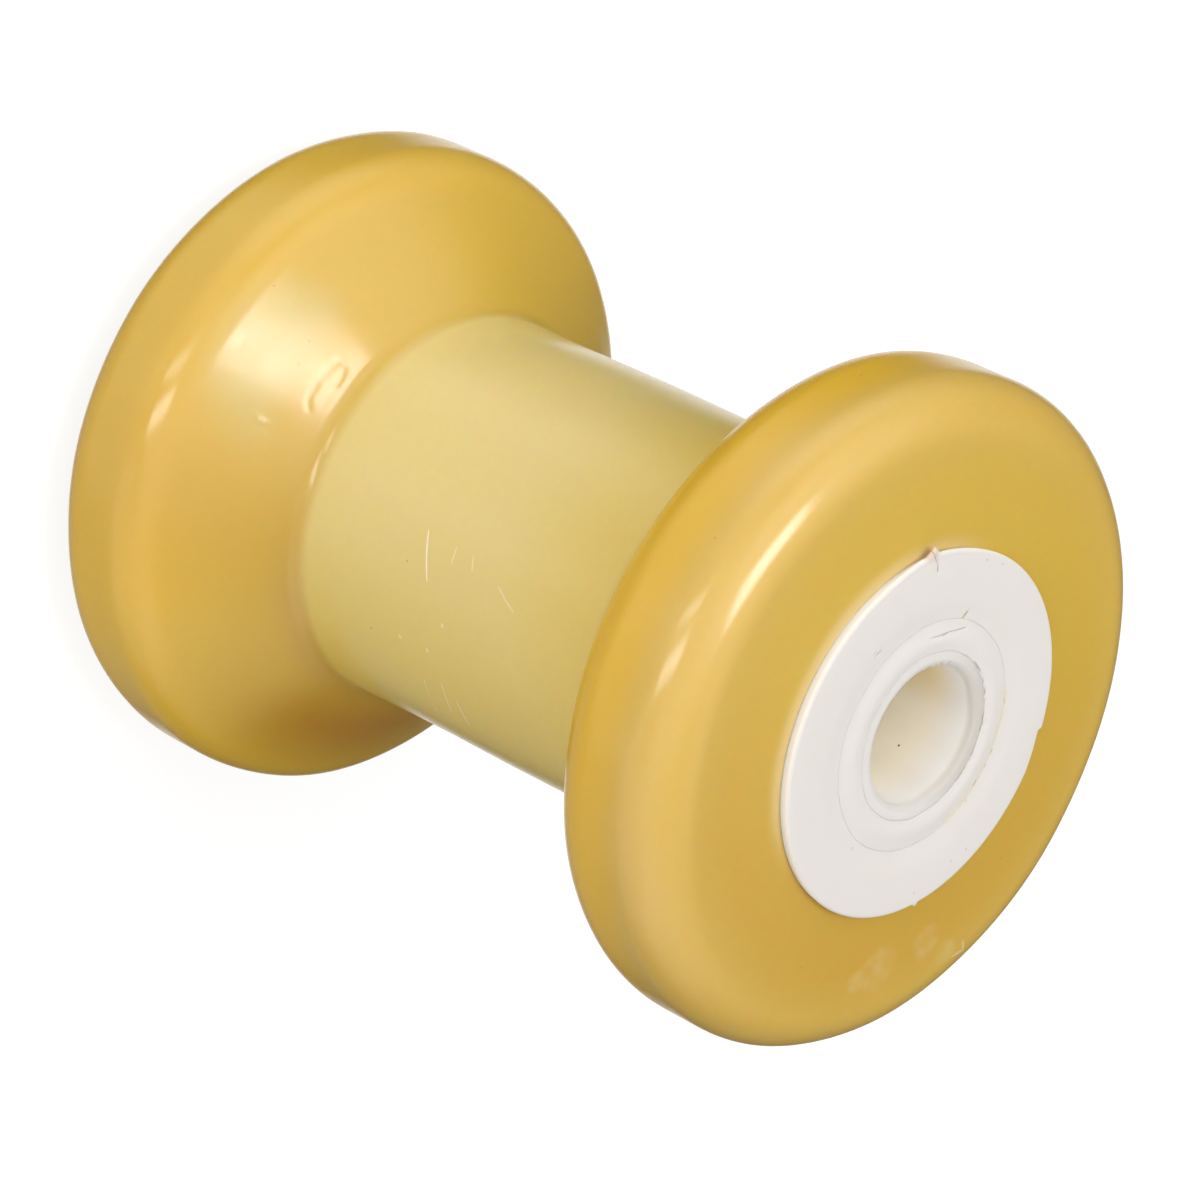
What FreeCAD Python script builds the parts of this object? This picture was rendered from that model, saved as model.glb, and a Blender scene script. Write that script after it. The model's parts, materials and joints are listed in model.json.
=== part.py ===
"""Boat trailer keel roller: an amber spool moulded on a white hub that is lined with two tubes.

The roller stands on one end. Z is the axis it rolls about, and the origin is its middle.
Lengths are in millimetres and angles in degrees.
"""
import FreeCAD, Part
import os
import Sketcher

# Name, value and what it measures.
SIZES = [
    ("tread_length", 101.6, "amber spool, over its end faces where they meet the hub"),
    ("flange_diameter", 79.9, "rim of each flange"),
    ("flange_width", 26.5, "from the end face to the foot of the inner flank"),
    ("flank_lean", 35.1, "lean of each inner flank, off square to the axis"),
    ("end_face_fall", 2.9, "fall of each end face from hub to rim, off square to the axis"),
    ("shoulder_radius", 6.0, "round between the rim and the end face"),
    ("crease_radius", 6.8, "round between the rim and the inner flank"),
    ("root_radius", 2.5, "fillet between the inner flank and the barrel"),
    ("barrel_skin", 2.3, "amber over the hub along the barrel"),
    ("hub_wall", 7.9, "white hub, from its tube to the amber"),
    ("hub_stand_out", 1.4, "how far each end of the hub stands out of the amber"),
    ("hub_chamfer", 0.3, "outer edge of the hub's ends"),
    ("tube_wall", 3.65, "tube pressed into the hub"),
    ("tube_chamfer", 0.2, "outer edge of the tube's ends"),
    ("sleeve_wall", 1.85, "bearing sleeve pressed into the tube"),
    ("sleeve_chamfer", 0.2, "outer edge of the sleeve's ends"),
    ("mouth_radius", 0.6, "round at each mouth of the bore"),
    ("bore_diameter", 16.4, "running bore for a 5/8 in (15.9 mm) shaft"),
]

# Diameters and lengths that follow from the sizes, as expressions.
BORE = "Sizes.bore_diameter"
SLEEVE = f"({BORE} + 2 * Sizes.sleeve_wall)"
TUBE = f"({SLEEVE} + 2 * Sizes.tube_wall)"
HUB = f"({TUBE} + 2 * Sizes.hub_wall)"
BARREL = f"({HUB} + 2 * Sizes.barrel_skin)"
FLANGE = "Sizes.flange_diameter"
TREAD_LENGTH = "Sizes.tread_length"
BARREL_LENGTH = f"({TREAD_LENGTH} - 2 * Sizes.flange_width)"
ROLLER_LENGTH = f"({TREAD_LENGTH} + 2 * Sizes.hub_stand_out)"

SAME = 1e-4
FULL_TURN = 360
ORIGIN_POINT = (-1, 1)
ACROSS_AXIS = -1


def make_sheet(doc):
    sheet = doc.addObject("Spreadsheet::Sheet", "Sizes")
    for row, (alias, value, meaning) in enumerate(SIZES, start=1):
        sheet.set(f"A{row}", meaning)
        sheet.set(f"B{row}", str(value))
        sheet.setAlias(f"B{row}", alias)
    doc.recompute()
    return sheet


def make_body(doc, label):
    body = doc.addObject("PartDesign::Body", label)
    body.Label = label
    body.Placement = FreeCAD.Placement()
    return body


def make_sketch(body, plane_role):
    plane = next(item for item in body.Origin.OriginFeatures if item.Role == plane_role)
    sketch = body.newObject("Sketcher::SketchObject", f"{body.Label}_section")
    sketch.AttachmentSupport = (plane, [""])
    sketch.MapMode = "FlatFace"
    return sketch


def dimension(sketch, name, kind, elements, expression):
    """A named dimension of the sketch that follows the expression."""
    index = sketch.addConstraint(Sketcher.Constraint(kind, *elements, sketch.evalExpression(expression)))
    sketch.renameConstraint(index, name)
    sketch.setExpression(f"Constraints.{name}", expression)


def round_corners(sketch, name, sides, alias):
    """Round the outline's corner after each of these sides; the dimensions keep the sharp corners."""
    arcs = []
    for side in sides:
        ends = [sketch.Geometry[number] for number in (side, side + 1)]
        middles = [(line.StartPoint + line.EndPoint) / 2 for line in ends]
        arcs.append(sketch.GeometryCount)
        sketch.fillet(side, side + 1, *middles, sketch.evalExpression(f"Sizes.{alias}"), True, True)
    dimension(sketch, name, "Radius", (arcs[0],), f"Sizes.{alias}")
    sketch.addConstraint(Sketcher.Constraint("Equal", *arcs))


def make_tread(doc):
    """The amber spool: one half section, its six corners rounded, turned about the axis."""
    body = make_body(doc, "tread")
    sketch = make_sketch(body, "XZ_Plane")
    value = sketch.evalExpression
    seat = value(HUB) / 2
    waist = value(BARREL) / 2
    rim = value(FLANGE) / 2
    end = value(TREAD_LENGTH) / 2
    foot = value(BARREL_LENGTH) / 2
    crease = (foot + end) / 2

    # The outline runs up the outside from the lower end face and comes back down the hub's seat.
    lower = [(seat, -end), (rim, -end), (rim, -crease), (waist, -foot)]
    upper = [(across, -up) for across, up in reversed(lower)]
    corners = [FreeCAD.Vector(across, up, 0) for across, up in lower + upper]
    count = len(corners)
    for side in range(count):
        sketch.addGeometry(Part.LineSegment(corners[side], corners[(side + 1) % count]), False)
    for side in range(count):
        sketch.addConstraint(Sketcher.Constraint("Coincident", side, 2, (side + 1) % count, 1))
    for side in range(len(lower)):
        mirrored = (count - 1 - side, 1)
        sketch.addConstraint(Sketcher.Constraint("Symmetric", side, 1, *mirrored, ACROSS_AXIS))
    end_face, rim_low, flank_low, barrel, flank_high, rim_high, _, hub_seat = range(count)
    sketch.addConstraint(Sketcher.Constraint("Vertical", rim_low))
    dimension(sketch, "seat", "DistanceX", (*ORIGIN_POINT, end_face, 1), f"{HUB} / 2")
    dimension(sketch, "waist", "DistanceX", (*ORIGIN_POINT, barrel, 1), f"{BARREL} / 2")
    dimension(sketch, "rim", "DistanceX", (*ORIGIN_POINT, rim_low, 1), f"{FLANGE} / 2")
    dimension(sketch, "tread_length", "DistanceY", (hub_seat, 2, hub_seat, 1), TREAD_LENGTH)
    dimension(sketch, "barrel_length", "DistanceY", (barrel, 1, barrel, 2), BARREL_LENGTH)
    dimension(sketch, "fall", "Angle", (end_face,), "Sizes.end_face_fall * 1 deg")
    dimension(sketch, "lean", "Angle", (flank_high,), "Sizes.flank_lean * 1 deg")
    doc.recompute()
    round_corners(sketch, "shoulder", (end_face, rim_high), "shoulder_radius")
    round_corners(sketch, "crease", (rim_low, flank_high), "crease_radius")
    round_corners(sketch, "root", (flank_low, barrel), "root_radius")
    doc.recompute()

    spool = body.newObject("PartDesign::Revolution", "spool")
    spool.Profile = sketch
    spool.ReferenceAxis = (sketch, ["V_Axis"])
    spool.Angle = FULL_TURN
    doc.recompute()
    return body


def end_circles(body, diameter):
    """The names of the circles of this diameter at the two ends of one of the linings."""
    radius = body.Tip.evalExpression(diameter) / 2
    end = body.Tip.evalExpression(ROLLER_LENGTH) / 2
    names = []
    for number, edge in enumerate(body.Tip.Shape.Edges, start=1):
        if not isinstance(edge.Curve, Part.Circle):
            continue
        same_radius = abs(edge.Curve.Radius - radius) < SAME
        same_height = abs(abs(edge.Curve.Center.z) - end) < SAME
        if same_radius and same_height:
            names.append(f"Edge{number}")
    return names


def ease_ends(body, kind, name, diameter, alias):
    """Break the edges of this diameter at both ends, with a Chamfer's size or a Fillet's radius."""
    base = body.Tip
    edges = end_circles(body, diameter)
    feature = body.newObject(f"PartDesign::{kind}", name)
    feature.Base = (base, edges)
    feature.setExpression({"Chamfer": "Size", "Fillet": "Radius"}[kind], f"Sizes.{alias}")
    body.Document.recompute()


def make_lining(doc, label, outer, inner):
    """One of the three tubes inside the tread, all as long as the roller, with sharp ends."""
    body = make_body(doc, label)
    sketch = make_sketch(body, "XY_Plane")
    for name, diameter in (("outer", outer), ("inner", inner)):
        radius = sketch.evalExpression(diameter) / 2
        circle = sketch.addGeometry(Part.Circle(FreeCAD.Vector(), FreeCAD.Vector(0, 0, 1), radius), False)
        sketch.addConstraint(Sketcher.Constraint("Coincident", circle, 3, *ORIGIN_POINT))
        dimension(sketch, name, "Diameter", (circle,), diameter)
    wall = body.newObject("PartDesign::Pad", f"{label}_wall")
    wall.Profile = sketch
    wall.SideType = "Symmetric"
    wall.setExpression("Length", ROLLER_LENGTH)
    doc.recompute()
    return body


def make_hub(doc):
    """The white hub that the amber is moulded on."""
    body = make_lining(doc, "hub", HUB, TUBE)
    ease_ends(body, "Chamfer", "hub_edges", HUB, "hub_chamfer")
    return body


def make_tube(doc):
    """The tube between the hub and the bearing sleeve."""
    body = make_lining(doc, "hub_tube", TUBE, SLEEVE)
    ease_ends(body, "Chamfer", "tube_edges", TUBE, "tube_chamfer")
    return body


def make_sleeve(doc):
    """The sleeve that turns on the shaft, its mouths rounded to let the shaft in."""
    body = make_lining(doc, "bearing_sleeve", SLEEVE, BORE)
    ease_ends(body, "Chamfer", "sleeve_edges", SLEEVE, "sleeve_chamfer")
    ease_ends(body, "Fillet", "mouths", BORE, "mouth_radius")
    return body


def check(doc, bodies):
    """Stop if anything in the document failed, or a piece isn't one sound solid."""
    for item in doc.Objects:
        if {"Invalid", "Error"} & set(item.State):
            raise RuntimeError(f"{item.Label} failed: {item.State}")
    for body in bodies:
        if body.Shape.isNull() or not body.Shape.isValid() or len(body.Shape.Solids) != 1:
            raise RuntimeError(f"{body.Label} is not one valid solid")


def main():
    doc = FreeCAD.newDocument("keel_roller")
    make_sheet(doc)
    bodies = [make_tread(doc), make_hub(doc), make_tube(doc), make_sleeve(doc)]
    doc.recompute()
    check(doc, bodies)
    os.makedirs("parts", exist_ok=True)
    for body in bodies:
        body.Shape.exportStep(f"parts/{body.Label}.step")
        print(body.Label, round(body.Shape.Volume / 1000, 2), "cm3")


main()
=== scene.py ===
"""Looks of a boat trailer keel roller: an amber spool moulded on a white hub that is lined with two tubes.

The roller stands on one end. Z is the axis it rolls about, and the origin is its middle.
Lengths are in metres, written as a number of millimetres times MM, and angles are in degrees.
"""

import json
import math

import bpy
import numpy as np
from mathutils import Matrix, Quaternion, Vector


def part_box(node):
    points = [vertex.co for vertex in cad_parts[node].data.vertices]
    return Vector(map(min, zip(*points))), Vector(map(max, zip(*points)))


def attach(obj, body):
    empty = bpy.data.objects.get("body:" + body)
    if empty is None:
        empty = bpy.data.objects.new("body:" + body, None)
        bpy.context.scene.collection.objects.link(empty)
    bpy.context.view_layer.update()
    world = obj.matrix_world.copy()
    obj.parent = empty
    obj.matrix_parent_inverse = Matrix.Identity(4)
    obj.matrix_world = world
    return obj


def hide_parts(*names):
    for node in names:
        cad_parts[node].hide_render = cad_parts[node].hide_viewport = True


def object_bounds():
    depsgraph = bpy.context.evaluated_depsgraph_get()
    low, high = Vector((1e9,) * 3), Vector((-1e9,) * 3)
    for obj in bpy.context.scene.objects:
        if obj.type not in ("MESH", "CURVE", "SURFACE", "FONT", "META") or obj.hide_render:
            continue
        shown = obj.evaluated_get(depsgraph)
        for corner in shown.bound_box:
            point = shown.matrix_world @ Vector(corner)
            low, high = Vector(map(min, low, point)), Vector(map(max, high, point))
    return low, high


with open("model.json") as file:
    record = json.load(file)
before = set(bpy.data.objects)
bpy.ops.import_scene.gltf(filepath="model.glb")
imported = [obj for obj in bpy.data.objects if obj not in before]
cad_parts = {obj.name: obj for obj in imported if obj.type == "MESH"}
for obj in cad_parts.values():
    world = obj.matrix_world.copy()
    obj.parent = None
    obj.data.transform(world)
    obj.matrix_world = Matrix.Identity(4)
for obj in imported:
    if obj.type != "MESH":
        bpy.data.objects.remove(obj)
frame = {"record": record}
cad_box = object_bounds()

MM = 0.001

# Sizes that the frame gives.
RIM_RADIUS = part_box("tread")[1].x
TREAD_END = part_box("tread")[1].z
HUB_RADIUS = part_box("hub")[1].x
HUB_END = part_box("hub")[1].z
TUBE_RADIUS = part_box("hub_tube")[1].x
SLEEVE_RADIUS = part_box("bearing_sleeve")[1].x
BORE_RADIUS = next(m for m in frame["record"]["mounts"] if m["name"] == "shaft_bore")["dims"]["r_mm"] * MM

# Sizes of the amber spool's section. At the hub its end faces creep up by a hair.
BARREL_RADIUS = HUB_RADIUS + 2.3 * MM
FLANK_FOOT = TREAD_END - 26.5 * MM
FLANK_LEAN = 35.1
END_FACE_FALL = 2.9
SHOULDER = 6.0 * MM
CREASE = 6.8 * MM
ROOT = 2.5 * MM
CREEP = 0.06 * MM
CREEP_EDGE = HUB_RADIUS + 0.1 * MM

# Rounds at the ends of the white pieces.
HUB_EDGE = 0.35 * MM
SEAM_EDGE = 0.06 * MM
MOUTH = 0.8 * MM

# The upper end: the tube's crown, how far the hub and the sleeve are sunk at their seams, and how far the hub falls
# and spreads towards its rim.
CROWN = 0.30 * MM
HUB_SINK = 0.2 * MM
SLEEVE_SINK = 0.06 * MM
HUB_FALL = 0.12 * MM
HUB_FALL_WIDTH = 3 * MM
HUB_SPREAD = 0.15 * MM

# The camera, fitted to the outline of the roller. The photograph is square, and the focus is in its pixels.
PHOTO_SIDE = 1200
SENSOR = 36.0
FOCUS = 5269.72
CAMERA_PLACE = Vector((0, -479.22, 380.67)) * MM
CAMERA_AIM = Vector((2.18, 0, 3.02)) * MM
CAMERA_ROLL = 116.04

# Softboxes: name, degrees right of and above the way to the camera, distance, the angles that its sides span,
# radiance and roll.
LAMPS = [
    ("right_softbox", 41, -1, 2.0, 24, 18, 8.7, 35),
    ("left_softbox_low", -34, 1, 0.6, 26, 9, 5.8, 0),
    ("left_softbox_high", -34, 18, 0.6, 24, 6, 4.2, 0),
]

# The room's own light, and its brighter parts: strength, degrees right and up, and the degrees of core and edge.
AMBIENT = 0.09
GLOWS = [
    (1.09, 0, 0, 5, 50),
    (0.32, -120, -10, 10, 50),
    (0.96, 45, 10, 5, 50),
    (0.56, -72, 5, 10, 32),
    (0.36, 78, -10, 15, 35),
    (0.18, 80, -45, 10, 35),
    (0.21, 0, 50, 5, 50),
    (0.76, -60, 50, 5, 50),
    (0.52, 60, 50, 5, 50),
    (0.60, 0, 85, 10, 35),
    (0.80, -60, -45, 5, 50),
    (0.33, 50, -50, 5, 50),
    (0.22, 0, -60, 10, 40),
    (0.33, 0, -88, 10, 32),
    (0.91, -177, 9, 8, 30),
]

# Spacing of the points on a round of the section, and round the axis: fine where the wear is, and coarser behind.
# A stretch of the section with the whole step has no points between its ends.
ROUND_STEP = 0.6 * MM
WHOLE = 110 * MM
WORN_SIDE = (-165, -45)
FINE_TURN = 0.5
COARSE_TURN = 1.5
LINING_TURNS = 720


def slope(angle):
    return math.tan(math.radians(angle))


def outline(corners):
    """The (radius, height) points of a closed outline.

    Each corner is its radius and height, the radius of its round, and the step of the points up to the next corner.
    """
    count = len(corners)
    places = [np.array(corner[:2]) for corner in corners]
    arcs = []
    for number, (place, corner) in enumerate(zip(places, corners)):
        radius = corner[2]
        back = places[number - 1] - place
        ahead = places[(number + 1) % count] - place
        back /= np.linalg.norm(back)
        ahead /= np.linalg.norm(ahead)
        if not radius:
            arcs.append([place])
            continue
        half = math.acos(back @ ahead) / 2
        middle = place + (back + ahead) / np.linalg.norm(back + ahead) * radius / math.sin(half)
        start = place + back * radius / math.tan(half) - middle
        finish = place + ahead * radius / math.tan(half) - middle
        turn = math.atan2(start[0] * finish[1] - start[1] * finish[0], start @ finish)
        steps = max(5, math.ceil(abs(turn) * radius / ROUND_STEP))
        arc = []
        for share in np.linspace(0, 1, steps + 1):
            c, s = math.cos(turn * share), math.sin(turn * share)
            arc.append(middle + np.array([start[0] * c - start[1] * s, start[0] * s + start[1] * c]))
        arcs.append(arc)
    points = []
    for number, arc in enumerate(arcs):
        points += arc
        stretch = arcs[(number + 1) % count][0] - arc[-1]
        steps = max(1, round(np.linalg.norm(stretch) / corners[number][3]))
        points += [arc[-1] + stretch * share for share in np.linspace(0, 1, steps + 1)[1:-1]]
    return np.array(points)


def turned(name, corners, angles):
    """A ring turned about the Z axis from a closed outline that runs anticlockwise in (radius, height)."""
    section = outline(corners)
    turns, count = len(angles), len(section)
    places = np.empty((turns, count, 3))
    places[..., 0] = np.cos(angles)[:, None] * section[:, 0]
    places[..., 1] = np.sin(angles)[:, None] * section[:, 0]
    places[..., 2] = section[:, 1]
    around = np.arange(turns)[:, None] * count
    ahead = (np.arange(turns)[:, None] + 1) % turns * count
    along = np.arange(count)
    further = (along + 1) % count
    faces = np.stack([around + along, ahead + along, ahead + further, around + further], axis=-1)
    mesh = bpy.data.meshes.new(name)
    mesh.from_pydata(places.reshape(-1, 3).tolist(), [], faces.reshape(-1, 4).tolist())
    mesh.shade_smooth()
    piece = bpy.data.objects.new(name, mesh)
    bpy.context.scene.collection.objects.link(piece)
    return piece


def line_of_sight(pixel):
    """The way from the camera through a pixel of the photograph."""
    across, down = pixel
    return (view_turn @ Vector((across - PHOTO_SIDE / 2, PHOTO_SIDE / 2 - down, -FOCUS))).normalized()


def on_end(pixel):
    """The place on the hub's upper end that a pixel of the photograph shows."""
    way = line_of_sight(pixel)
    return CAMERA_PLACE + way * (HUB_END - CAMERA_PLACE.z) / way.z


def seen_on(piece, pixel):
    """The place on a piece that a pixel of the photograph shows."""
    hit, place, *_ = piece.ray_cast(CAMERA_PLACE, line_of_sight(pixel))
    if not hit:
        raise ValueError(f"nothing of {piece.name} at {pixel}")
    return place


def on_spool(pixel):
    return seen_on(tread, pixel)


def distance_to(places, path):
    """How far each place is from a path of straight runs."""
    nearest = np.full(places.shape[:-1], np.inf)
    for start, end in zip(path, path[1:]):
        start, run = np.array(start), np.array(end) - np.array(start)
        share = np.clip((places - start) @ run / (run @ run), 0, 1)
        nearest = np.minimum(nearest, np.linalg.norm(places - start - share[..., None] * run, axis=-1))
    return nearest


def smooth(value, low, high):
    """0 where the value is under low, 1 where it is over high, and smooth between."""
    share = np.clip((value - low) / (high - low), 0, 1)
    return share * share * (3 - 2 * share)


def reshape(piece, change):
    """Moves the points of a piece; the change is given their places and ways out, and gives the new places."""
    points = piece.data.vertices
    places, ways = (np.empty(3 * len(points), dtype=np.float32) for _ in range(2))
    points.foreach_get("co", places)
    points.foreach_get("normal", ways)
    places = change(places.reshape(-1, 3).astype(float), ways.reshape(-1, 3).astype(float))
    points.foreach_set("co", places.astype(np.float32).ravel())
    piece.data.update()


def make_camera():
    lens = bpy.data.cameras.new("camera")
    lens.sensor_width = SENSOR
    lens.lens = FOCUS / PHOTO_SIDE * SENSOR
    camera = bpy.data.objects.new("camera", lens)
    bpy.context.scene.collection.objects.link(camera)
    level = (CAMERA_AIM - CAMERA_PLACE).to_track_quat("-Z", "Y")
    camera.rotation_mode = "QUATERNION"
    camera.rotation_quaternion = level @ Quaternion((0, 0, 1), math.radians(CAMERA_ROLL))
    camera.location = CAMERA_PLACE
    bpy.context.scene.camera = camera
    return camera


camera = make_camera()
bpy.context.view_layer.update()
view_turn = camera.matrix_world.to_3x3()


class Number:
    """What a node gives out. Sums on it add Math nodes."""

    def __init__(self, finish, socket):
        self.finish = finish
        self.socket = socket

    def math(self, operation, *values):
        return self.finish.node("ShaderNodeMath", {"operation": operation}, dict(enumerate(values)))

    def __add__(self, other):
        return self.math("ADD", self, other)

    def __radd__(self, other):
        return self.math("ADD", other, self)

    def __sub__(self, other):
        return self.math("SUBTRACT", self, other)

    def __rsub__(self, other):
        return self.math("SUBTRACT", other, self)

    def __mul__(self, other):
        return self.math("MULTIPLY", self, other)

    def __rmul__(self, other):
        return self.math("MULTIPLY", other, self)

    def __truediv__(self, other):
        return self.math("DIVIDE", self, other)

    def __pow__(self, other):
        return self.math("POWER", self, other)

    def __abs__(self):
        return self.math("ABSOLUTE", self)


class Nodes:
    """The nodes of a material or of the world."""

    def __init__(self, owner):
        owner.use_nodes = True
        self.tree = owner.node_tree
        self.tree.nodes.clear()

    def node(self, kind, settings=None, inputs=None, output=0):
        """Any node: its settings are set first, then the values or links of its sockets."""
        made = self.tree.nodes.new(kind)
        for name, value in (settings or {}).items():
            setattr(made, name, value)
        for name, value in (inputs or {}).items():
            if isinstance(value, Number):
                self.tree.links.new(value.socket, made.inputs[name])
            else:
                made.inputs[name].default_value = value
        return None if output is None else Number(self, made.outputs[output])

    def rise(self, value, low, high, top=1.0):
        """0 where the value is under low, the top where it is over high, and smooth between."""
        inputs = {"Value": value, "From Min": low, "From Max": high, "To Max": top}
        return self.node("ShaderNodeMapRange", {"interpolation_type": "SMOOTHSTEP"}, inputs)

    def mix(self, share, first, second):
        """A colour between two colours."""
        first, second = (c if isinstance(c, Number) else (*c, 1) for c in (first, second))
        return self.node("ShaderNodeMix", {"data_type": "RGBA"}, {0: share, 6: first, 7: second}, output=2)

    def vector(self, operation, first, second, output=0):
        return self.node("ShaderNodeVectorMath", {"operation": operation}, {0: first, 1: second}, output)

    def larger(self, *masks):
        """The largest of several numbers."""
        most = masks[0]
        for mask in masks[1:]:
            most = most.math("MAXIMUM", most, mask)
        return most


class Finish(Nodes):
    """The nodes of one material, with the places that its colours follow.

    Marks are drawn at the places in drawn, which are those of the surface unless a material flattens them.
    """

    def __init__(self, name):
        self.material = bpy.data.materials.new(name)
        super().__init__(self.material)
        self.place = self.drawn = self.node("ShaderNodeTexCoord", output="Object")
        self.x, self.y, self.z = (
            self.node("ShaderNodeSeparateXYZ", inputs={"Vector": self.place}, output=axis) for axis in "XYZ"
        )
        self.radius = (self.x * self.x + self.y * self.y) ** 0.5
        self.height = abs(self.z)

    def draw_on_end(self):
        """Marks are drawn on the flat of the hub's upper end from here on."""
        self.drawn = self.node("ShaderNodeCombineXYZ", inputs={"X": self.x, "Y": self.y, "Z": HUB_END})

    def offset(self, angle):
        """How far each place lies from the axis towards this angle round it."""
        return self.x * math.cos(math.radians(angle)) + self.y * math.sin(math.radians(angle))

    def apart(self, middle):
        """How far each place is from this one."""
        return self.vector("DISTANCE", self.drawn, middle, "Value")

    def spots(self, middles, radius):
        """1 at any of these places, and 0 beyond the radius."""
        return self.larger(*(self.rise(self.apart(middle), radius, 0.5 * radius) for middle in middles))

    def stroke(self, path, width):
        """1 along a path of straight runs, each a thin ellipse with its ends as foci, and 0 beyond half the width."""
        runs = []
        for start, end in zip(path, path[1:]):
            length = (end - start).length
            runs.append(self.rise(self.apart(start) + self.apart(end), math.hypot(length, width), length))
        return self.larger(*runs)

    def strokes(self, find, marks):
        """Strokes whose paths are given as pixels, for each of which find gives the place."""
        return self.larger(*(self.stroke([find(pixel) for pixel in path], width) for path, width in marks))

    def noise(self, size, detail=0.0):
        """Soft noise from 0 to 1, whose features are about this size."""
        return self.node("ShaderNodeTexNoise", inputs={"Vector": self.place, "Scale": 1 / size, "Detail": detail})

    def patches(self):
        """1 in small patches, and 0 between them."""
        return self.rise(self.noise(STAIN_PATCH), 0.4, 0.6)

    def principled(self, **inputs):
        """A principled shader; its sockets are named with underscores for spaces."""
        named = {name.replace("_", " "): value for name, value in inputs.items()}
        return self.node("ShaderNodeBsdfPrincipled", inputs=named)

    def end(self, shader):
        self.node("ShaderNodeOutputMaterial", inputs={"Surface": shader}, output=None)
        return self.material


def spool_corners():
    rim_to_seat = RIM_RADIUS - HUB_RADIUS
    shoulder = TREAD_END - rim_to_seat * slope(END_FACE_FALL)
    crease = FLANK_FOOT + (RIM_RADIUS - BARREL_RADIUS) * slope(FLANK_LEAN)
    return [
        (HUB_RADIUS, -TREAD_END - CREEP, 0, CREEP),
        (CREEP_EDGE, -TREAD_END, CREEP, 1.2 * MM),
        (RIM_RADIUS, -shoulder, SHOULDER, 0.8 * MM),
        (RIM_RADIUS, -crease, CREASE, 0.35 * MM),
        (BARREL_RADIUS, -FLANK_FOOT, ROOT, 2 * MM),
        (BARREL_RADIUS, FLANK_FOOT, ROOT, 1 * MM),
        (RIM_RADIUS, crease, CREASE, 0.8 * MM),
        (RIM_RADIUS, shoulder, SHOULDER, 0.8 * MM),
        (CREEP_EDGE, TREAD_END, CREEP, CREEP),
        (HUB_RADIUS, TREAD_END + CREEP, 0, WHOLE),
    ]


def lining_corners(outer, inner, outer_edge, inner_edge):
    """The section of a lining, whose upper end is divided finely."""
    return [
        (inner, -HUB_END, inner_edge, 1 * MM),
        (outer, -HUB_END, outer_edge, WHOLE),
        (outer, TREAD_END, 0, 0.2 * MM),
        (outer, HUB_END, outer_edge, 0.2 * MM),
        (inner, HUB_END, inner_edge, WHOLE),
    ]


around_spool = np.concatenate([
    np.radians(np.arange(WORN_SIDE[0], WORN_SIDE[1], FINE_TURN)),
    np.radians(np.arange(WORN_SIDE[1], WORN_SIDE[0] + 360, COARSE_TURN)),
])
around_linings = np.linspace(0, math.tau, LINING_TURNS, endpoint=False)

tread = turned("amber_spool", spool_corners(), around_spool)
hub = turned("white_hub", lining_corners(HUB_RADIUS, TUBE_RADIUS, HUB_EDGE, SEAM_EDGE), around_linings)
tube = turned("white_tube", lining_corners(TUBE_RADIUS, SLEEVE_RADIUS, SEAM_EDGE, SEAM_EDGE), around_linings)
sleeve = turned("cream_sleeve", lining_corners(SLEEVE_RADIUS, BORE_RADIUS, SEAM_EDGE, MOUTH), around_linings)
bpy.context.view_layer.update()

# The moulding's unevenness: how far each of its waves goes in and out, and for each its radians per millimetre
# along X, Y and Z, and its shift.
UNEVENNESS = 0.03 * MM
SPOOL_WAVES = [
    ((0.21, 0.13, 0.17), 0.3),
    ((-0.16, 0.24, 0.11), 2.0),
    ((0.12, -0.19, 0.27), 4.1),
    ((0.30, 0.05, -0.21), 1.1),
]

# Dents in the far flank, and two burrs there, whose depth is below zero: a path of pixels, a depth and a half width.
FLANK_DENTS = [
    ([(338, 361), (344, 368), (342, 376), (337, 384)], 0.045 * MM, 0.28 * MM),
    ([(317, 383), (311, 393), (308, 400), (308.5, 409)], 0.045 * MM, 0.28 * MM),
    ([(338, 361), (327, 371), (317, 383)], 0.015 * MM, 0.40 * MM),
    ([(333, 392), (322, 404)], 0.015 * MM, 0.35 * MM),
    ([(244, 340), (241, 346)], 0.02 * MM, 0.28 * MM),
    ([(258, 418), (266, 422)], -0.035 * MM, 0.28 * MM),
    ([(262, 434), (266, 437)], -0.02 * MM, 0.28 * MM),
]
DEEPEST_DENTS = FLANK_DENTS[:2]

# How the seams and the mouth wander off round: waves in a turn, size and shift.
OUTER_SEAM = [(2, 0.05 * MM, 0.4), (5, 0.04 * MM, 1.9), (11, 0.025 * MM, 4.0), (23, 0.012 * MM, 0.7)]
INNER_SEAM = [(3, 0.05 * MM, 2.1), (7, 0.04 * MM, 5.0), (13, 0.03 * MM, 1.2)]
MOUTH_EDGE = [(4, 0.05 * MM, 1.0), (9, 0.03 * MM, 2.7)]
RAGGED = [(29, 0.06 * MM, 0.3), (47, 0.06 * MM, 2.2), (71, 0.05 * MM, 3.9), (103, 0.04 * MM, 5.1)]

# Where the inner seam is torn and the mouth is chipped, how far round that spreads, in radians, and how much more
# ragged the mouth is than the seam.
TORN_SIDE = (981, 715)
TORN_SPREAD = 0.9
CHIPPED_MOUTH = (943, 669)
CHIPPED_SPREAD = 0.35
CHIPPED_MORE = 1.5

# Fins on the hub's rim: degrees round the axis, and how far each stands out, stands up and spreads to each side.
# The rim bulges by the first one. The nick runs from its deep end to where it ends.
RIM_FINS = [(-144.5, 1.0 * MM, 0.1 * MM, 1.0 * MM), (37, 0.35 * MM, 0, 0.45 * MM)]
BULGE = 0.5 * MM
BULGE_WIDTH = 5 * MM
NICK = [(1043, 729), (1026, 772)]
NICK_DEPTH = 0.55 * MM

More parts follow.
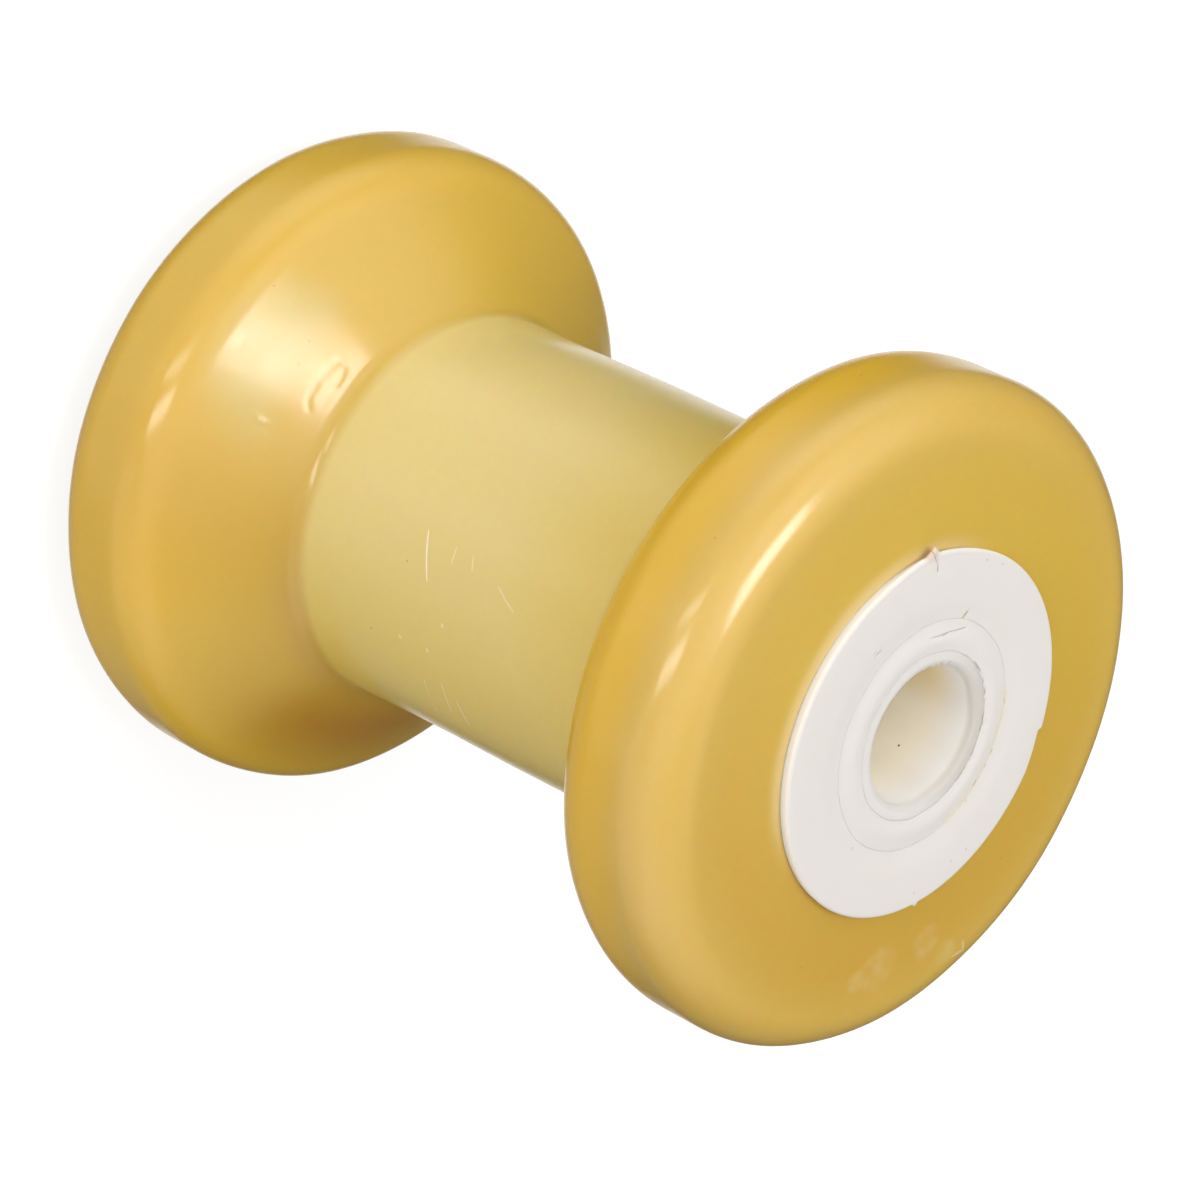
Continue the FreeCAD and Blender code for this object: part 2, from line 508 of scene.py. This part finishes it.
# Cuts in the upper end: a path of pixels, a depth and a half width.
HUB_GROOVES = [
    ([(933.5, 552), (936.8, 563)], 0.12 * MM, 0.18 * MM),
    ([(938.6, 561), (938.8, 573)], 0.15 * MM, 0.18 * MM),
    ([(876, 657), (883, 649)], 0.06 * MM, 0.2 * MM),
    ([(963, 621), (969, 612)], 0.08 * MM, 0.25 * MM),
]
TUBE_CUTS = [
    ([(931, 639), (952, 633), (968, 627)], 0.08 * MM, 0.15 * MM),
    ([(941, 636), (953, 630)], 0.06 * MM, 0.12 * MM),
]


def angle_at(pixel):
    place = on_end(pixel)
    return math.atan2(place.y, place.x)


def round_from(angles, start):
    """How far round each angle is from a start, from -pi to pi."""
    return (angles - start + math.pi) % math.tau - math.pi


def wander(angles, waves):
    return sum(size * np.sin(count * angles + shift) for count, size, shift in waves)


def beside(angles, pixel, spread):
    """1 at the angle that a pixel shows, fading off to both sides."""
    return np.exp(-(round_from(angles, angle_at(pixel)) / spread) ** 2)


def inner_seam(angle):
    return wander(angle, INNER_SEAM) + wander(angle, RAGGED) * beside(angle, TORN_SIDE, TORN_SPREAD)


def dug(places, cuts, find):
    """How deep the places lie in cuts, for each of whose pixels find gives the place."""
    depth = np.zeros(len(places))
    for path, deep, width in cuts:
        depth += deep * np.exp(-(distance_to(places, [find(pixel) for pixel in path]) / width) ** 2)
    return depth


def moved(places, reach, lift):
    """The places moved out from the axis and up."""
    grown = 1 + reach / np.hypot(places[:, 0], places[:, 1])
    return np.column_stack([places[:, 0] * grown, places[:, 1] * grown, places[:, 2] + lift])


def wear_spool(places, ways):
    """The moulding's faint unevenness, and the dents in the far flank. The seat on the hub stays round."""
    waves = sum(np.sin(places @ np.array(way) / MM + shift) for way, shift in SPOOL_WAVES)
    depth = UNEVENNESS * waves - dug(places, FLANK_DENTS, on_spool)
    depth[np.hypot(places[:, 0], places[:, 1]) < CREEP_EDGE] = 0
    return places + ways * depth[:, None]


def wear_hub(places, ways):
    """The hub's upper end: sunk to the seam, which isn't quite round, and a rim with two fins, a bulge and a nick."""
    x, y, z = places.T
    radius, angle = np.hypot(x, y), np.arctan2(y, x)
    up = smooth(z, TREAD_END, HUB_END - 0.3 * MM)
    rim = up * smooth(radius, HUB_RADIUS - 1.6 * MM, HUB_RADIUS - 0.3 * MM)
    reach = wander(angle, OUTER_SEAM) * smooth(radius, TUBE_RADIUS + 1 * MM, TUBE_RADIUS + 0.2 * MM) * up

    def apart(place):
        return abs(round_from(angle, math.radians(place))) * HUB_RADIUS

    lift = -HUB_SINK * up * smooth(radius, TUBE_RADIUS + 3 * MM, TUBE_RADIUS)
    lift -= HUB_FALL * up * np.clip((radius - HUB_RADIUS + HUB_FALL_WIDTH) / HUB_FALL_WIDTH, 0, 1) ** 2
    flake = rim * smooth(z, HUB_END - 0.8 * MM, HUB_END - 0.4 * MM)
    for place, out, higher, half in RIM_FINS:
        tip = np.clip(1 - apart(place) / half, 0, 1)
        reach += out * tip * flake
        lift += higher * tip * flake
    reach += rim * (HUB_SPREAD + BULGE * np.exp(-(apart(RIM_FINS[0][0]) / BULGE_WIDTH) ** 2))
    start, end = angle_at(NICK[0]), angle_at(NICK[1])
    share = round_from(angle, start) / round_from(end, start)
    reach -= NICK_DEPTH * rim * smooth(share, -0.04, 0.04) * np.clip(1 - share, 0, 1)
    lift -= up * dug(places, HUB_GROOVES, on_end)
    return moved(places, reach, lift)


def wear_tube(places, ways):
    """The tube's upper end: crowned, both its seams uneven, the inner one torn on one side, and cut twice."""
    x, y, z = places.T
    radius, angle = np.hypot(x, y), np.arctan2(y, x)
    up = smooth(z, TREAD_END, HUB_END - 0.3 * MM)
    reach = wander(angle, OUTER_SEAM) * smooth(radius, TUBE_RADIUS - 1 * MM, TUBE_RADIUS - 0.2 * MM)
    reach += inner_seam(angle) * smooth(radius, SLEEVE_RADIUS + 1 * MM, SLEEVE_RADIUS + 0.2 * MM)
    lift = CROWN * smooth(radius, TUBE_RADIUS, TUBE_RADIUS - 2.2 * MM) - HUB_SINK
    lift -= 0.5 * CROWN * smooth(radius, SLEEVE_RADIUS + 1.3 * MM, SLEEVE_RADIUS)
    lift -= dug(places, TUBE_CUTS, on_end)
    return moved(places, reach * up, lift * up)


def wear_sleeve(places, ways):
    """The sleeve's upper end: a little sunk, uneven outside, and chipped at the mouth."""
    x, y, z = places.T
    radius, angle = np.hypot(x, y), np.arctan2(y, x)
    up = smooth(z, TREAD_END, HUB_END - 0.5 * MM)
    reach = inner_seam(angle) * smooth(radius, SLEEVE_RADIUS - 0.8 * MM, SLEEVE_RADIUS - 0.2 * MM)
    chip = beside(angle, CHIPPED_MOUTH, CHIPPED_SPREAD) * CHIPPED_MORE
    edge = smooth(radius, BORE_RADIUS + 0.9 * MM, BORE_RADIUS + 0.1 * MM)
    reach += (wander(angle, MOUTH_EDGE) + wander(angle, RAGGED) * chip) * edge
    return moved(places, reach * up, -SLEEVE_SINK * up)


reshape(tread, wear_spool)
reshape(hub, wear_hub)
reshape(tube, wear_tube)
reshape(sleeve, wear_sleeve)
bpy.context.view_layer.update()

# Colours of the plastics, and of what has got on and into them. Some of them are painted light and shade:
# shade on one side of the amber, shade and shadow under the far flange, a glow at its edges, a lip painted lighter,
# part of a reflection on the far flank, shade on the barrel, shade on the hub's rim round, fin and the
# sleeve's mouth, light at the foot of the hub's wall and in the bore, and a tan shade on one side of the bore.
AMBER = (0.575, 0.385, 0.057)
DARKER_AMBER = (0.54, 0.335, 0.052)
FAR_SHADE_AMBER = (0.60, 0.39, 0.038)
FAR_SHADOW_AMBER = (0.51, 0.26, 0.024)
EDGE_GLOW_AMBER = (0.62, 0.39, 0.028)
OUTER_AMBER = (0.56, 0.385, 0.084)
LIT_LIP_AMBER = (0.61, 0.45, 0.19)
RUBBED_AND_REFLECTION = (0.48, 0.44, 0.18)
PALE = (0.675, 0.535, 0.20)
SHADED_PALE = (0.655, 0.49, 0.12)
SCUFFED = (0.86, 0.78, 0.56)
WHITE = (0.64, 0.612, 0.587)
RIM_SHADE_WHITE = (0.62, 0.595, 0.57)
WALL_LIGHT_WHITE = (0.84, 0.82, 0.80)
CREAM = (0.66, 0.58, 0.46)
BORE_LIGHT_WHITE = (0.84, 0.82, 0.79)
BORE_LIGHT_CREAM = (0.93, 0.86, 0.74)
BORE_SHADE_TAN = (0.86, 0.70, 0.40)
MOUTH_SHADE_WHITE = (0.57, 0.55, 0.525)
WORN_SHADE_WHITE = (0.50, 0.465, 0.42)
BROWN = (0.30, 0.18, 0.05)
DIRT = (0.24, 0.20, 0.12)
GREY = (0.30, 0.27, 0.23)
FIN_SHADE_PEACH = (0.60, 0.42, 0.33)
GREEN = (0.36, 0.36, 0.17)
RESIDUE = (0.66, 0.58, 0.38)
RUST = (0.42, 0.20, 0.06)
BLACK = (0.02, 0.02, 0.02)

# The sides, round the axis, on which shade is painted into the amber, and on which its lip on the hub is painted
# lighter, as lit.
SHADED_SIDE = 15
LIT_LIP_SIDE = -100

# How deep light runs in the amber of the flanges, in the thin amber on the hub, and in the white plastics.
DEEP = 8 * MM
SHALLOW = 0.3 * MM
END_DEPTH = 0.5 * MM
SLEEVE_DEPTH = 0.8 * MM

# How far red, green and blue run in the amber, as shares of that depth.
AMBER_RUN = (1.0, 0.45, 0.12)

# Gloss of the amber: its shine, the least roughness, and how much rougher it is in places.
AMBER_SHINE = 0.7
AMBER_ROUGHNESS = 0.13
ROUGHER = 0.12

# Sizes of the soft patches: in the amber's gloss, its scuffs, the cream in the white, the stains on the ends and the
# ends' unevenness, whose height is a share of a millimetre.
GLOSS_PATCH = 3 * MM
SCUFF_PATCH = 1.5 * MM
CREAM_PATCH = 6 * MM
STAIN_PATCH = 1.2 * MM
END_PATCH = 2.5 * MM
END_UNEVENNESS = 0.03

WHITE_PLASTIC = {
    "Roughness": 0.5,
    "Specular_IOR_Level": 0.2,
    "Subsurface_Weight": 1.0,
    "Subsurface_Radius": (1.0, 0.9, 0.8),
}

# Marks by the pixels that show them: strokes, each a path and its width, and spots. How much of a mark's colour
# shows, where it isn't the whole, is a share from 0 to 1.
MAIN_SCRATCH = [([(428.8, 529), (426.4, 562)], 0.38 * MM), ([(426.8, 548), (427, 582)], 0.38 * MM)]
BARREL_SCRATCHES = [
    ([(456.9, 547), (451, 565)], 0.3 * MM),
    ([(473.5, 555), (471.9, 572)], 0.3 * MM),
    ([(498, 586), (505, 599)], 0.3 * MM),
    ([(503, 597), (514, 613)], 0.3 * MM),
    ([(424, 679), (437.5, 712)], 0.45 * MM),
    ([(441, 682), (452, 712)], 0.45 * MM),
    ([(456, 700), (470, 726)], 0.45 * MM),
]
BARREL_SCRATCHES_SHOW = 0.4
BARREL_DABS = [(442.2, 625.5), (400, 636.7), (427.2, 650.4)]
BARREL_DABS_SHOW = 0.4
BARREL_SPECKS = [(407, 561), (371.4, 627.8)]
BARREL_SPECKS_SHOW = 0.5
FLANGE_SCRATCHES = [
    ([(962.6, 940), (962.6, 951.5)], 0.5 * MM),
    ([(964, 949), (951, 957)], 0.7 * MM),
]
FLANGE_SCRATCHES_SHOW = 0.3
FLANGE_DABS = [(260, 419), (264, 421)]
FLANGE_DABS_SHOW = 0.2
FLANGE_SPECKS = [
    (801, 967.6), (715, 538), (861, 375), (273.8, 285.6), (309.5, 341), (298.7, 364.4), (1000.5, 859),
]
FLANGE_SPECKS_SHOW = 0.35
DAB_RADIUS = 0.35 * MM
SPECK_RADIUS = 0.2 * MM
DENT_WIDTH = 0.4 * MM
DENTS_SHOW = 0.6
# A rubbed, paler patch on the far flank, which also paints part of a reflection there.
RUBBED_AND_REFLECTION_FLANK = (295, 372)
RUBBED_AND_REFLECTION_RADIUS = 13 * MM
RUBBED_AND_REFLECTION_SHOWS = 0.35
FLANGE_SCUFFS = [((926, 941), 2.8 * MM), ((945, 952), 2.2 * MM), ((878, 969), 3.6 * MM), ((856, 981), 2.0 * MM)]
FLANGE_SCUFFS_SHOW = 0.16
HUB_CRACKS = [([(938.6, 561.5), (938.8, 573)], 0.24 * MM), ([(933.5, 551), (936.8, 563)], 0.22 * MM)]
HUB_TICKS = [([(875.8, 657), (883.3, 649.4)], 0.14 * MM), ([(873, 655), (877, 651)], 0.10 * MM)]
HUB_SPECKS = [(853.4, 848.8), (951, 861), (966, 849), (914, 893)]
HUB_SPECK_RADIUS = 0.25 * MM
FIN = (933, 553)
FIN_RADIUS = 1.5 * MM
ORANGE_SPOTS = [(987.7, 560), (1003, 564)]
TUBE_SCORES = [
    ([(931.6, 638.4), (949, 632), (967.7, 627.7)], 0.14 * MM),
    ([(942, 636.3), (952, 630.5)], 0.12 * MM),
]
GREEN_SMEAR = ([(962, 621.8), (969.5, 611.5)], 0.5 * MM)
OUTER_RESIDUE = (
    [(1006.3, 684.8), (1005.5, 706), (1001, 722), (996.4, 736), (987, 763.5), (976.5, 782.6), (966.5, 797.5),
     (956.6, 810), (943, 824)], 1.6 * MM,
)
RUSTY_BITS = [
    ([(1005.6, 697), (1005.6, 705)], 0.16 * MM),
    ([(994, 749), (991, 756)], 0.18 * MM),
    ([(987.5, 763), (985, 769)], 0.22 * MM),
    ([(977.5, 780), (974, 787)], 0.22 * MM),
    ([(968, 799), (966, 803)], 0.16 * MM),
]
INNER_TEAR = (
    [(974.8, 661.6), (981, 672), (984, 683), (985.6, 694.7), (984.5, 708), (982.3, 721), (978.5, 736), (974, 749.5),
     (969.9, 759), (963, 771), (955, 782.6)], 0.4 * MM,
)
INNER_TEAR_SHOWS = 0.6
# Where the mouth is worn, with painted shade for its slope, and how much of that shows.
WORN_SHADED_MOUTH = (992, 725)
WORN_SHADE_SHOWS = 0.8
BORE_SPECKS = [(898.8, 745.5)]
BORE_SPECK_RADIUS = 0.17 * MM
CREAM_SHOWS = 0.12


def make_amber():
    """Translucent amber: light runs deep in the flanges, and comes back early from the white hub under the barrel."""
    finish = Finish("amber_polyurethane")
    side = finish.offset(SHADED_SIDE)
    amber = amber_tints(finish, side)
    roughness = AMBER_ROUGHNESS + finish.noise(GLOSS_PATCH) * ROUGHER
    depths = []
    for depth, colour in ((DEEP, flange_colour(finish, amber)), (SHALLOW, barrel_colour(finish, amber, side))):
        depths.append(finish.principled(
            Base_Color=colour,
            Roughness=roughness,
            Subsurface_Weight=1.0,
            Subsurface_Radius=AMBER_RUN,
            Subsurface_Scale=depth,
            Specular_IOR_Level=AMBER_SHINE,
        ))
    root = finish.rise(finish.height, 28.5 * MM, 24 * MM)
    collar = finish.rise(finish.radius, 25 * MM, 22 * MM)
    shallow = finish.larger(root, collar)
    return finish.end(finish.node("ShaderNodeMixShader", inputs={0: shallow, 1: depths[0], 2: depths[1]}))


def amber_tints(finish, side):
    """The amber all over: darker on one side, which is painted shade; more orange and then darkest under the far
    flange, which is painted shade and painted shadow; and rubbed and paler on its flank, which also paints part of a
    reflection there.
    """
    # Painted shade: more orange on the far flange's lower side.
    golden = finish.rise(finish.z, -24 * MM, -27 * MM) * finish.rise(side, 0, 20 * MM)
    # Painted shadow: darkest under the far flange.
    under = finish.rise(side / finish.radius, 0.80, 1.0) * finish.rise(finish.radius, 39 * MM, 30 * MM)
    # Rubbed and paler on the far flank, which also paints part of a reflection.
    tinted = finish.spots([on_spool(RUBBED_AND_REFLECTION_FLANK)], RUBBED_AND_REFLECTION_RADIUS) * finish.rise(finish.z, -27 * MM, -30 * MM)
    # Painted shade: the amber darker on one side.
    amber = finish.mix(finish.rise(side, -25 * MM, 30 * MM), AMBER, DARKER_AMBER)
    amber = finish.mix(golden, amber, FAR_SHADE_AMBER)
    amber = finish.mix(tinted * RUBBED_AND_REFLECTION_SHOWS, amber, RUBBED_AND_REFLECTION)
    return finish.mix(under * finish.rise(finish.z, -23 * MM, -29 * MM), amber, FAR_SHADOW_AMBER)


def flange_colour(finish, amber):
    """The flanges: paler at the near rim, with a painted glow, more orange, at the edges, scuffed on the end and
    dented on one flank.
    """
    outer = finish.rise(finish.radius, 28 * MM, 38 * MM) * finish.rise(finish.z, 38 * MM, 45 * MM)
    # Painted glow: more orange at the near flange's edge, and a little at the far one's.
    edge = finish.rise(abs(finish.z - 38 * MM), 8 * MM, 2 * MM)
    far_edge = finish.rise(abs(finish.z + 43 * MM), 7 * MM, 3 * MM, 0.3)
    colour = finish.mix(outer, amber, OUTER_AMBER)
    colour = finish.mix(finish.larger(edge, far_edge), colour, EDGE_GLOW_AMBER)
    # Darker along the deepest dents.
    dents = finish.strokes(on_spool, [(path, DENT_WIDTH) for path, _, _ in DEEPEST_DENTS])
    colour = finish.mix(dents * DENTS_SHOW, colour, DARKER_AMBER)
    scuffs = finish.larger(*(finish.spots([on_spool(pixel)], radius) for pixel, radius in FLANGE_SCUFFS))
    marks = finish.larger(
        finish.strokes(on_spool, FLANGE_SCRATCHES) * FLANGE_SCRATCHES_SHOW,
        scuffs * finish.noise(SCUFF_PATCH) * FLANGE_SCUFFS_SHOW,
        finish.spots(map(on_spool, FLANGE_DABS), DAB_RADIUS) * FLANGE_DABS_SHOW,
    )
    colour = finish.mix(marks, colour, SCUFFED)
    specks = finish.spots(map(on_spool, FLANGE_SPECKS), SPECK_RADIUS)
    return finish.mix(specks * FLANGE_SPECKS_SHOW, colour, BROWN)


def barrel_colour(finish, amber, side):
    """The thin amber on the hub, which shows through it: pale along the barrel and darker, painted shade, towards the
    near flange and on the shaded side, with a paler lip at the hub's end, painted lighter on its lit side.
    """
    # The lip at the hub's end paler, and painted lighter on its lit side.
    lip = finish.rise(finish.radius, HUB_RADIUS + 2.6 * MM, HUB_RADIUS)
    lip = lip * finish.rise(finish.offset(LIT_LIP_SIDE) / finish.radius, 0.2, 0.75)
    # Painted shade: darker towards the near flange and on the shaded side.
    deep = finish.larger(finish.rise(finish.z, 2 * MM, 22 * MM), finish.rise(side, -5 * MM, 20 * MM))
    skin = finish.mix(deep, PALE, SHADED_PALE)
    marks = finish.larger(
        finish.strokes(on_spool, MAIN_SCRATCH),
        finish.strokes(on_spool, BARREL_SCRATCHES) * BARREL_SCRATCHES_SHOW,
        finish.spots(map(on_spool, BARREL_DABS), DAB_RADIUS) * BARREL_DABS_SHOW,
    )
    skin = finish.mix(marks, skin, SCUFFED)
    specks = finish.spots(map(on_spool, BARREL_SPECKS), SPECK_RADIUS)
    skin = finish.mix(specks * BARREL_SPECKS_SHOW, skin, BROWN)
    colour = finish.mix(lip, amber, LIT_LIP_AMBER)
    return finish.mix(finish.rise(finish.height, 24.4 * MM, 22.2 * MM), colour, skin)


def milky_white(finish):
    """White, gone a little cream in places."""
    return finish.mix(finish.noise(CREAM_PATCH, 1.0) * CREAM_SHOWS, WHITE, CREAM)


def end_white(name, stains_and_shade):
    """White plastic, a little milky, stained on its upper end, and at the hub's rim with painted shade on its round
    and painted light at the foot of its wall.
    """
    finish = Finish(name)
    finish.draw_on_end()
    upper = finish.rise(finish.z, TREAD_END - 1 * MM, TREAD_END)
    # Painted shade on the round of the hub's rim, and painted light at the foot of its wall.
    rim = finish.mix(finish.rise(finish.z, TREAD_END + 1.3 * MM, TREAD_END + 0.9 * MM), RIM_SHADE_WHITE, WALL_LIGHT_WHITE)
    outside = finish.rise(finish.radius, HUB_RADIUS - 0.4 * MM, HUB_RADIUS - 0.1 * MM)
    colour = finish.mix(outside, milky_white(finish), rim)
    for strength, stain_and_painted_light, mask in stains_and_shade(finish, finish.patches()):
        colour = finish.mix(mask * upper * strength, colour, stain_and_painted_light)
    uneven = {"Height": finish.noise(END_PATCH) * END_UNEVENNESS, "Distance": 1 * MM}
    normal = finish.node("ShaderNodeBump", inputs=uneven)
    return finish.end(finish.principled(
        Base_Color=colour, Subsurface_Scale=END_DEPTH, Normal=normal, **WHITE_PLASTIC,
    ))


def hub_stains_and_shade(finish, patchy):
    """Stains on the hub's end, and painted shade on its fin, each a strength, a colour and a mask."""
    return [
        # Painted shade: peach over the fin, for its shaded side.
        (0.5, FIN_SHADE_PEACH, finish.spots([on_end(FIN)], FIN_RADIUS)),
        (0.6, DIRT, finish.strokes(on_end, HUB_CRACKS)),
        (0.8, GREY, finish.strokes(on_end, HUB_TICKS)),
        (0.3, GREY, finish.spots(map(on_end, HUB_SPECKS), HUB_SPECK_RADIUS)),
        (0.4, RUST, finish.spots(map(on_end, ORANGE_SPOTS), SPECK_RADIUS)),
        (0.9, GREEN, finish.strokes(on_end, [GREEN_SMEAR]) * patchy),
        *seam_stains(finish, patchy),
    ]


def tube_stains(finish, patchy):
    """Stains on the tube's end, as on the hub's."""
    return [
        (0.8, DIRT, finish.strokes(on_end, TUBE_SCORES)),
        *seam_stains(finish, patchy),
        (0.7, GREY, finish.strokes(on_end, [INNER_TEAR]) * patchy),
    ]


def seam_stains(finish, patchy):
    """What has come out of the seam between the hub and the tube."""
    return [
        (0.5, RESIDUE, finish.strokes(on_end, [OUTER_RESIDUE]) * (0.4 + patchy * 0.6)),
        (0.7, RUST, finish.strokes(on_end, RUSTY_BITS)),
    ]


def make_sleeve_plastic():
    """The sleeve's white plastic, gone cream, with painted shade on the round of its mouth and on the side where the
    mouth is worn, and in the bore painted light that makes it lighter and cream, with a painted tan shade on one
    side.
    """
    finish = Finish("cream_sleeve_plastic")
    # Painted light: the bore's wall lighter, and its inside lighter and cream.
    wall = finish.rise(finish.height, HUB_END - 0.3 * MM, HUB_END - 1.2 * MM)
    inside = wall * finish.rise(finish.height, HUB_END - 1.5 * MM, HUB_END - 7 * MM)
    # Painted shade: the bore tan on one side.
    tinted = inside * finish.rise(finish.x, -2 * MM, -8 * MM)
    specks = finish.spots((seen_on(sleeve, pixel) for pixel in BORE_SPECKS), BORE_SPECK_RADIUS)
    finish.draw_on_end()
    torn = finish.strokes(on_end, [INNER_TEAR]) * finish.patches()
    torn = torn * finish.rise(finish.z, HUB_END - 1 * MM, HUB_END - 0.5 * MM)
    # Painted shade on the round of the mouth.
    mouth = finish.rise(finish.radius, BORE_RADIUS + 1.0 * MM, BORE_RADIUS + 0.6 * MM)
    # The mouth worn on one side, with painted shade for its worn slope.
    worn_shade = finish.rise(finish.apart(on_end(WORN_SHADED_MOUTH)), 16 * MM, 5 * MM)
    colour = milky_white(finish)
    for mask, stain_and_painted_light in (
        (mouth, MOUTH_SHADE_WHITE),
        (worn_shade * WORN_SHADE_SHOWS, WORN_SHADE_WHITE),
        (wall, BORE_LIGHT_WHITE),
        (inside, BORE_LIGHT_CREAM),
        (tinted, BORE_SHADE_TAN),
        (torn * INNER_TEAR_SHOWS, GREY),
        (specks, BLACK),
    ):
        colour = finish.mix(mask, colour, stain_and_painted_light)
    return finish.end(finish.principled(Base_Color=colour, Subsurface_Scale=SLEEVE_DEPTH, **WHITE_PLASTIC))


for piece, node, slot, material in (
    (tread, "tread", "amber_polyurethane", make_amber()),
    (hub, "hub", "white_hub_plastic", end_white("white_hub_plastic", hub_stains_and_shade)),
    (tube, "hub_tube", "white_tube_plastic", end_white("white_tube_plastic", tube_stains)),
    (sleeve, "bearing_sleeve", "cream_sleeve_plastic", make_sleeve_plastic()),
):
    piece.data.materials.append(material)
    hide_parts(node)
    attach(piece, "root")


def towards(across, up):
    """The direction that leans so many degrees right of the way to the camera, and so many up, as photographed."""
    across, up = math.radians(across), math.radians(up)
    return view_turn @ Vector((math.sin(across) * math.cos(up), math.sin(up), math.cos(across) * math.cos(up)))


def softbox(name, across, up, distance, width, height, radiance, roll):
    """A rectangular lamp. Its sides are the angles that it spans, seen from the roller."""
    light = bpy.data.lights.new(name, "AREA")
    light.shape = "RECTANGLE"
    light.size = 2 * distance * slope(width / 2)
    light.size_y = 2 * distance * slope(height / 2)
    light.energy = radiance * math.pi * light.size * light.size_y
    lamp = bpy.data.objects.new(name, light)
    bpy.context.scene.collection.objects.link(lamp)
    out = towards(across, up)
    side = (view_turn @ Vector((0, 1, 0))).cross(out).normalized()
    axes = Matrix((side, out.cross(side), out)).transposed()
    lamp.rotation_mode = "QUATERNION"
    lamp.rotation_quaternion = axes.to_quaternion() @ Quaternion((0, 0, 1), math.radians(roll))
    lamp.location = out * distance
    lamp.visible_camera = False


for lamp in LAMPS:
    softbox(*lamp)

# The floor is white in its own light, as the photograph's backdrop is, and it neither lights nor shades the roller.
FLOOR_SIDE = 20.0
FLOOR_GREY = 0.25
FLOOR_GLOW = 0.82


def make_floor():
    finish = Finish("pale_floor")
    plain = finish.principled(
        Base_Color=(FLOOR_GREY, FLOOR_GREY, FLOOR_GREY, 1), Roughness=1.0,
        Emission_Color=(1, 1, 1, 1), Emission_Strength=FLOOR_GLOW, Specular_IOR_Level=0.0,
    )
    half, height = FLOOR_SIDE / 2, cad_box[0].z
    mesh = bpy.data.meshes.new("floor")
    corners = [(-half, -half, height), (half, -half, height), (half, half, height), (-half, half, height)]
    mesh.from_pydata(corners, [], [(0, 1, 2, 3)])
    mesh.materials.append(finish.end(plain))
    floor = bpy.data.objects.new("floor", mesh)
    bpy.context.scene.collection.objects.link(floor)
    floor.visible_diffuse = False
    floor.visible_glossy = False
    floor.visible_shadow = False
    return floor


floor = make_floor()


def light_studio():
    """The room round the roller: dim, with a white backdrop behind it and a broad glow above, as photographed."""
    world = bpy.data.worlds.new("studio")
    bpy.context.scene.world = world
    nodes = Nodes(world)
    direction = nodes.node("ShaderNodeTexCoord", output="Generated")

    def glow(strength, across, up, core, edge):
        """Light of this strength within so many degrees of a direction, and none beyond the edge."""
        facing = nodes.vector("DOT_PRODUCT", direction, towards(across, up), "Value")
        return nodes.rise(facing, math.cos(math.radians(edge)), math.cos(math.radians(core)), strength)

    strength = sum((glow(*place) for place in GLOWS), AMBIENT)
    background = nodes.node("ShaderNodeBackground", inputs={"Color": (1, 1, 1, 1), "Strength": strength})
    nodes.node("ShaderNodeOutputWorld", inputs={"Surface": background}, output=None)


light_studio()
bpy.context.scene.view_settings.view_transform = "Standard"
